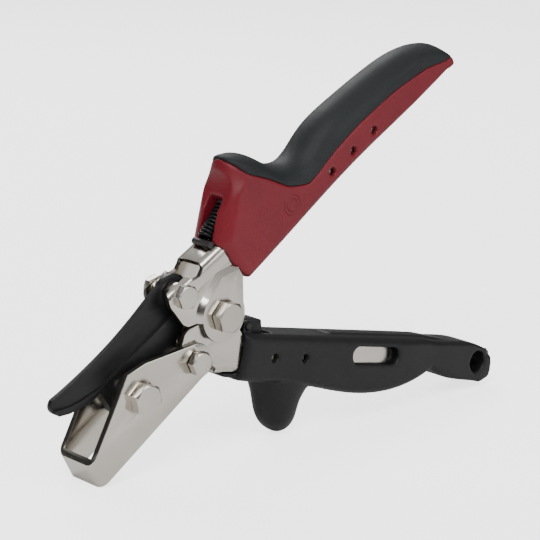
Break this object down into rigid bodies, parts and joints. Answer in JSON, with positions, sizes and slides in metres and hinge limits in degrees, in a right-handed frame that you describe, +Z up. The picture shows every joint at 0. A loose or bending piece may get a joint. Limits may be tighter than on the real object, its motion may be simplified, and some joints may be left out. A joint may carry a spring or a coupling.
{
  "type": "nibbler tool",
  "caption": "Hand-held notching pliers: a punch blade closes into a U-shaped plated die through a compound linkage, worked by a red cushioned handle and a black handle with a finger guard.",
  "frame": {"origin": "middle of the tool's length and width, on the level of the die's nose and the lower handle's end", "axes": "+X towards the handles' ends, +Y across the tool towards the nuts, +Z up"},
  "size_m": [0.2704, 0.0356, 0.1775],
  "materials": {
    "plated_steel": "nickel plated, bright",
    "plated_fasteners": "nickel plated, satin",
    "black_plastic": "moulded black nylon, satin",
    "red_plastic": "moulded red nylon, satin",
    "soft_grip": "soft black grip, matte",
    "black_oxide_steel": "black oxide",
    "spring_steel": "oiled black spring steel"
  },
  "bodies": {
    "lower_handle": {"lower_frame": "plated_steel", "lower_handle_moulding": "black_plastic", "lower_tang_pins": "plated_fasteners", "main_pivot_bolt": "plated_fasteners", "main_pivot_nut": "plated_fasteners", "main_pivot_bush": "plated_fasteners", "lower_link_bolt": "plated_fasteners", "lower_link_nut": "plated_fasteners", "lower_link_bush": "plated_fasteners", "latch_pin": "plated_fasteners"},
    "upper_handle": {"upper_frame": "plated_steel", "upper_handle_moulding": "red_plastic", "upper_grip": "soft_grip", "upper_tang_pins": "plated_fasteners", "upper_link_bolt": "plated_fasteners", "upper_link_nut": "plated_fasteners", "upper_link_spacers": "plated_fasteners", "return_spring": "spring_steel", "spring_foot_pin": "spring_steel", "spring_button": "spring_steel"},
    "die": {"die_frame": "plated_steel", "jaw_pivot_bolt": "plated_fasteners", "jaw_pivot_nut": "plated_fasteners", "jaw_pivot_spacers": "plated_fasteners"},
    "blade": {"blade": "black_oxide_steel"},
    "latch": {"latch_lever": "black_plastic"}
  },
  "joints": [
    {"name": "upper_handle_swing", "type": "hinge", "parent": "lower_handle", "child": "upper_handle", "pos_m": [-0.04734, 0, 0.0664], "axis": [0, 1, 0], "range_deg": [0, 36], "stiffness_Nm_per_rad": 0.6, "springref_deg": -45.84},
    {"name": "die_swing", "type": "hinge", "parent": "lower_handle", "child": "die", "pos_m": [-0.06342, 0, 0.04791], "axis": [0, 1, 0], "range_deg": [0, 37.2]},
    {"name": "blade_swing", "type": "hinge", "parent": "die", "child": "blade", "pos_m": [-0.09427, 0, 0.03737], "axis": [0, 1, 0], "range_deg": [-18.9, 0]},
    {"name": "latch_swing", "type": "hinge", "parent": "lower_handle", "child": "latch", "pos_m": [-0.02965, 0, 0.05787], "axis": [0, 1, 0], "range_deg": [-25, 0]}
  ],
  "couplings": [
    {"joint": "die_swing", "follows": "upper_handle_swing", "ratio": 1.0264},
    {"joint": "blade_swing", "follows": "upper_handle_swing", "ratio": -0.5182}
  ]
}
